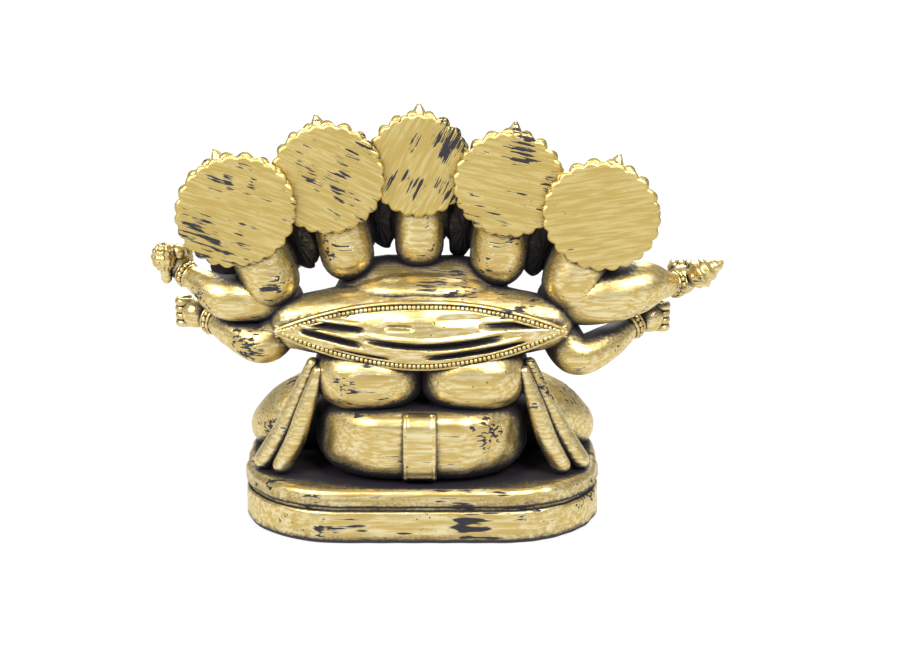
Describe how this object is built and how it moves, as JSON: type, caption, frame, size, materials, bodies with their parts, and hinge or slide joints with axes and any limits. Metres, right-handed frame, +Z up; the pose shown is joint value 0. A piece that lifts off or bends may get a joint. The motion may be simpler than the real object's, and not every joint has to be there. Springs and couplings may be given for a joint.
{
  "type": "seated figurine",
  "caption": "Small seated many-headed elephant deity figurine on a rounded two-tier plinth, with crowned heads, raised and lowered arms, a shawl and crossed legs.",
  "frame": {"origin": "centre of the plinth's flat underside", "axes": "+Z up, the figure faces -Y, its own left hand is on the +X side"},
  "size_m": [0.0843, 0.038, 0.0624],
  "materials": {
    "gilt_plinth": "antique brass, pale gold rubbed over black, pitted on the walls",
    "gilt_cloth": "antique brass, bright gold on the folds and black in the grooves",
    "gilt_crown": "antique brass, satin gold dry-brushed with black",
    "gilt_ornament": "antique brass, gold on the beads and black between them",
    "gilt_body": "antique brass, polished pale gold with black in the recesses"
  },
  "bodies": {
    "root": {"arm_lower_left": "gilt_body", "arm_lower_right": "gilt_body", "arm_upper_left": "gilt_body", "arm_upper_right": "gilt_body", "bangles": "gilt_ornament", "belly": "gilt_body", "conch": "gilt_ornament", "crown_centre": "gilt_crown", "crown_left_inner": "gilt_crown", "crown_left_outer": "gilt_crown", "crown_right_inner": "gilt_crown", "crown_right_outer": "gilt_crown", "drape_left": "gilt_cloth", "drape_right": "gilt_cloth", "ears_centre": "gilt_body", "ears_left_inner": "gilt_body", "ears_left_outer": "gilt_body", "ears_right_inner": "gilt_body", "ears_right_outer": "gilt_body", "foot_left": "gilt_body", "foot_right": "gilt_body", "halo_centre": "gilt_crown", "halo_left_inner": "gilt_crown", "halo_left_outer": "gilt_crown", "halo_right_inner": "gilt_crown", "halo_right_outer": "gilt_crown", "hand_lower_left": "gilt_body", "hand_lower_right": "gilt_body", "hand_upper_left": "gilt_body", "hand_upper_right": "gilt_body", "head_centre": "gilt_body", "head_left_inner": "gilt_body", "head_left_outer": "gilt_body", "head_right_inner": "gilt_body", "head_right_outer": "gilt_body", "hips": "gilt_body", "leg_left": "gilt_body", "leg_right": "gilt_body", "lotus_bud": "gilt_ornament", "neck_centre": "gilt_body", "neck_left_inner": "gilt_body", "neck_left_outer": "gilt_body", "neck_right_inner": "gilt_body", "neck_right_outer": "gilt_body", "necklace": "gilt_ornament", "plinth_foot": "gilt_plinth", "plinth_seat": "gilt_plinth", "sash": "gilt_cloth", "shawl": "gilt_cloth", "shawl_border_lower": "gilt_cloth", "shawl_border_upper": "gilt_cloth", "shoulder_left": "gilt_body", "shoulder_right": "gilt_body", "torso": "gilt_body", "trunk_centre": "gilt_body", "trunk_left_inner": "gilt_body", "trunk_left_outer": "gilt_body", "trunk_right_inner": "gilt_body", "trunk_right_outer": "gilt_body", "tusks": "gilt_body"}
  },
  "joints": []
}
